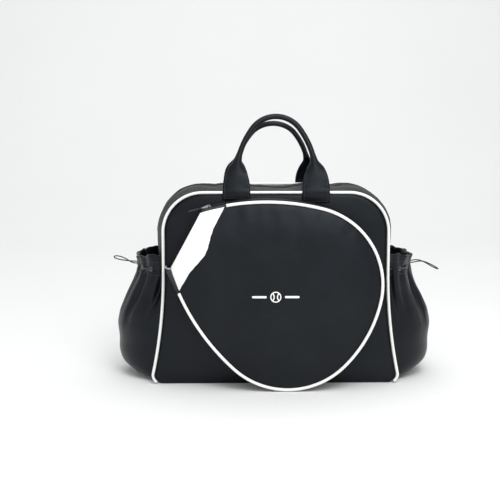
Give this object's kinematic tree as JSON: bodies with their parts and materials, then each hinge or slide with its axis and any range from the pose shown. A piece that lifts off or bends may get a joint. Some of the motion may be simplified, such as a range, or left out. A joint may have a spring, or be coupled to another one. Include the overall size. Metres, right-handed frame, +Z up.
{
  "type": "racket sports bag",
  "caption": "Zipped holdall for racket sports with a padded front pocket for a racket head, a drawcord pocket on each end and two rolled carrying handles.",
  "frame": {"origin": "on the floor under the centre of the box-shaped body, in the plane of its flat base", "axes": "+X along the bag to its right end, front with the racket pocket towards -Y, +Z up"},
  "size_m": [0.5721, 0.2417, 0.4524],
  "materials": {
    "leatherette": "semi-gloss, fine smooth grain",
    "white_leatherette": "semi-gloss, fine grain",
    "white_piping": "semi-gloss, smooth",
    "binding": "matt ribbed tape",
    "lining": "matt woven",
    "board": "matt",
    "foam": "matt foam",
    "zip_tape": "matt woven tape",
    "zip_chain": "satin coil",
    "slider_metal": "polished",
    "pull_leather": "satin",
    "cord": "braided elastic",
    "eyelet_metal": "polished",
    "emblem_white": "satin print",
    "cord_core": "matt twisted"
  },
  "bodies": {
    "root": {"back_handle_anchors": "leatherette", "back_panel": "leatherette", "base_board": "board", "bottom_panel": "leatherette", "drawcord_left": "cord", "drawcord_loop_left": "cord", "drawcord_loop_right": "cord", "drawcord_right": "cord", "emblem": "emblem_white", "end_pocket_eyelets_left": "eyelet_metal", "end_pocket_eyelets_right": "eyelet_metal", "end_pocket_hem_left": "lining", "end_pocket_hem_right": "lining", "end_pocket_left": "leatherette", "end_pocket_right": "leatherette", "front_handle_anchors": "leatherette", "front_panel": "leatherette", "lining": "lining", "main_zip_chain": "zip_chain", "main_zip_stops": "zip_chain", "main_zip_tape_front": "zip_tape", "main_zip_tape_rear": "zip_tape", "piping_back": "white_piping", "piping_front": "white_piping", "racket_pocket_front": "leatherette", "racket_pocket_gusset": "leatherette", "racket_pocket_lining": "lining", "racket_pocket_mouth_binding": "binding", "racket_pocket_mouth_panel": "white_leatherette", "racket_pocket_padding": "foam", "racket_pocket_piping": "white_piping", "racket_pocket_zip_chain": "zip_chain", "racket_pocket_zip_strip_front": "leatherette", "racket_pocket_zip_strip_rear": "leatherette", "racket_pocket_zip_tape_front": "zip_tape", "racket_pocket_zip_tape_rear": "zip_tape", "side_panel_left": "leatherette", "side_panel_right": "leatherette", "top_strip_front": "leatherette", "top_strip_rear": "leatherette"},
    "front_handle": {"front_handle_strap": "leatherette", "front_handle_core": "cord_core"},
    "back_handle": {"back_handle_strap": "leatherette", "back_handle_core": "cord_core"},
    "main_slider_left": {"main_zip_slider_left": "slider_metal"},
    "main_pull_left": {"main_zip_pull_left": "slider_metal", "main_zip_pull_strap_left": "pull_leather"},
    "main_slider_right": {"main_zip_slider_right": "slider_metal"},
    "main_pull_right": {"main_zip_pull_right": "slider_metal", "main_zip_pull_strap_right": "pull_leather"},
    "pocket_slider": {"racket_pocket_zip_slider": "slider_metal"},
    "pocket_pull": {"racket_pocket_zip_pull": "slider_metal", "racket_pocket_zip_pull_strap": "pull_leather"}
  },
  "joints": [
    {"name": "front_handle_swing", "type": "hinge", "parent": "root", "child": "front_handle", "pos_m": [0, -0.096, 0.328], "axis": [1, 0, 0], "range_deg": [-30, 100]},
    {"name": "back_handle_swing", "type": "hinge", "parent": "root", "child": "back_handle", "pos_m": [0, 0.096, 0.328], "axis": [-1, 0, 0], "range_deg": [-15, 175]},
    {"name": "main_zip_left", "type": "hinge", "parent": "root", "child": "main_slider_left", "pos_m": [-0.124, 0, 0.254], "axis": [0, 1, 0], "range_deg": [0, 90]},
    {"name": "main_pull_left_hinge", "type": "hinge", "parent": "main_slider_left", "child": "main_pull_left", "pos_m": [-0.20135, 0, 0.254], "axis": [0, 1, 0], "range_deg": [0, 170]},
    {"name": "main_zip_right", "type": "hinge", "parent": "root", "child": "main_slider_right", "pos_m": [0.124, 0, 0.254], "axis": [0, -1, 0], "range_deg": [0, 90]},
    {"name": "main_pull_right_hinge", "type": "hinge", "parent": "main_slider_right", "child": "main_pull_right", "pos_m": [0.20135, 0, 0.254], "axis": [0, -1, 0], "range_deg": [0, 170]},
    {"name": "pocket_zip", "type": "hinge", "parent": "root", "child": "pocket_slider", "pos_m": [-0.01781, -0.116, -0.05993], "axis": [0, 1, 0], "range_deg": [0, 27]},
    {"name": "pocket_pull_hinge", "type": "hinge", "parent": "pocket_slider", "child": "pocket_pull", "pos_m": [-0.11215, -0.11622, 0.30367], "axis": [-0.025, 0.995, 0.0963], "range_deg": [0, 170]}
  ]
}
